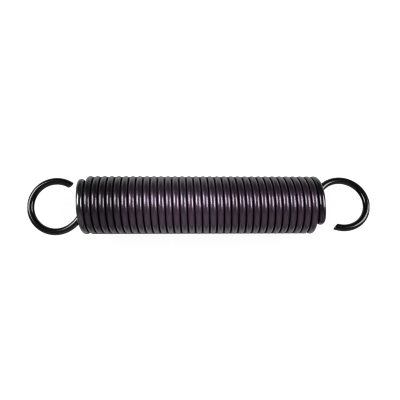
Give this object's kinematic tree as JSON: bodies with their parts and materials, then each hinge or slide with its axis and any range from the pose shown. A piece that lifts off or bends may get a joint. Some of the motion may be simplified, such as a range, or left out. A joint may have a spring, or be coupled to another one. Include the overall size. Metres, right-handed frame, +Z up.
{
  "type": "extension spring",
  "caption": "Close-coiled round-wire extension spring with a crossover loop at each end.",
  "frame": {"origin": "on the surface that the spring is laid on, under the middle of its length and the axis of its coil", "axes": "+X along the axis of the coil to the loop whose cut end is at the near side, +Y across the loops, +Z up from the surface"},
  "size_m": [0.113, 0.0194, 0.0192],
  "materials": {
    "spring_wire": "oil-tempered spring steel, blackened, glossy, with a faint purple tint along the coil"
  },
  "bodies": {
    "root": {"spring": "spring_wire"}
  },
  "joints": []
}
